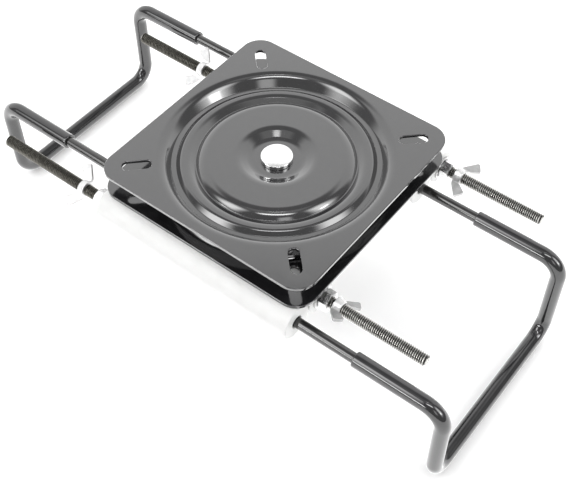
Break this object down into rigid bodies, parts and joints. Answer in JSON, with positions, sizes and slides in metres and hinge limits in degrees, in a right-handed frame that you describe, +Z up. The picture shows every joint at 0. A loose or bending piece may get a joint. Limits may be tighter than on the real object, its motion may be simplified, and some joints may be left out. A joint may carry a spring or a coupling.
{
  "type": "clamp-on swivel seat base",
  "caption": "Square swivel plate on a ball race, with tubes below and opposed screw-drawn rod hooks that grip the edges of a bench seat.",
  "frame": {"origin": "swivel axis at the top face of the upper plate, in the middle of the seat slots", "axes": "+X along the rods towards the right hook, +Z up out of the seat face"},
  "size_m": [0.4006, 0.1921, 0.1076],
  "materials": {
    "plate_enamel": "glossy black enamel on pressed sheet",
    "sleeve_coat": "off-white satin coat",
    "rod_steel": "black oxide on rolled thread rod",
    "hook_vinyl": "glossy black vinyl tube",
    "rivet_zinc": "bright zinc plate",
    "ball_steel": "polished steel",
    "retainer_nylon": "moulded nylon",
    "spacer_steel": "turned steel",
    "zinc_plate": "bright zinc plate"
  },
  "bodies": {
    "base": {"lower_plate": "plate_enamel", "centre_rivet": "rivet_zinc", "rivet_spacer": "spacer_steel", "front_outer_sleeve": "sleeve_coat", "front_inner_sleeve": "sleeve_coat", "back_inner_sleeve": "sleeve_coat", "back_outer_sleeve": "sleeve_coat", "left_front_washer": "zinc_plate", "left_back_washer": "zinc_plate", "right_front_washer": "zinc_plate", "right_back_washer": "zinc_plate"},
    "seat_plate": {"upper_plate": "plate_enamel"},
    "ball_ring": {"bearing_balls": "ball_steel", "ball_retainer": "retainer_nylon"},
    "left_hook": {"left_hook_rod": "rod_steel", "left_hook_cover": "hook_vinyl"},
    "right_hook": {"right_hook_rod": "rod_steel", "right_hook_cover": "hook_vinyl"},
    "left_front_nut": {"left_front_nut": "zinc_plate"},
    "left_front_wing_nut": {"left_front_wing_nut": "zinc_plate"},
    "left_back_nut": {"left_back_nut": "zinc_plate"},
    "left_back_wing_nut": {"left_back_wing_nut": "zinc_plate"},
    "right_front_nut": {"right_front_nut": "zinc_plate"},
    "right_front_wing_nut": {"right_front_wing_nut": "zinc_plate"},
    "right_back_nut": {"right_back_nut": "zinc_plate"},
    "right_back_wing_nut": {"right_back_wing_nut": "zinc_plate"}
  },
  "joints": [
    {"name": "seat_turn", "type": "hinge", "parent": "base", "child": "seat_plate", "pos_m": [0, 0, 0], "axis": [0, 0, 1], "continuous": true},
    {"name": "ball_ring_turn", "type": "hinge", "parent": "base", "child": "ball_ring", "pos_m": [0, 0, 0], "axis": [0, 0, 1], "continuous": true},
    {"name": "left_hook_slide", "type": "slide", "parent": "base", "child": "left_hook", "axis": [1, 0, 0], "range_m": [0, 0.0605]},
    {"name": "right_hook_slide", "type": "slide", "parent": "base", "child": "right_hook", "axis": [-1, 0, 0], "range_m": [0, 0.0435]},
    {"name": "left_front_nut_turn", "type": "hinge", "parent": "right_hook", "child": "left_front_nut", "pos_m": [-0.0845, -0.0819, -0.0319], "axis": [1, 0, 0], "continuous": true},
    {"name": "left_front_wing_nut_turn", "type": "hinge", "parent": "right_hook", "child": "left_front_wing_nut", "pos_m": [-0.1041, -0.0819, -0.0319], "axis": [1, 0, 0], "continuous": true},
    {"name": "left_back_nut_turn", "type": "hinge", "parent": "right_hook", "child": "left_back_nut", "pos_m": [-0.0845, 0.0571, -0.0319], "axis": [1, 0, 0], "continuous": true},
    {"name": "left_back_wing_nut_turn", "type": "hinge", "parent": "right_hook", "child": "left_back_wing_nut", "pos_m": [-0.1184, 0.0571, -0.0319], "axis": [1, 0, 0], "continuous": true},
    {"name": "right_front_nut_turn", "type": "hinge", "parent": "left_hook", "child": "right_front_nut", "pos_m": [0.0845, -0.0571, -0.0319], "axis": [1, 0, 0], "continuous": true},
    {"name": "right_front_wing_nut_turn", "type": "hinge", "parent": "left_hook", "child": "right_front_wing_nut", "pos_m": [0.0978, -0.0571, -0.0319], "axis": [1, 0, 0], "continuous": true},
    {"name": "right_back_nut_turn", "type": "hinge", "parent": "left_hook", "child": "right_back_nut", "pos_m": [0.0845, 0.0819, -0.0319], "axis": [1, 0, 0], "continuous": true},
    {"name": "right_back_wing_nut_turn", "type": "hinge", "parent": "left_hook", "child": "right_back_wing_nut", "pos_m": [0.0987, 0.0819, -0.0319], "axis": [1, 0, 0], "continuous": true}
  ],
  "couplings": [
    {"joint": "ball_ring_turn", "follows": "seat_turn", "ratio": 0.5}
  ]
}
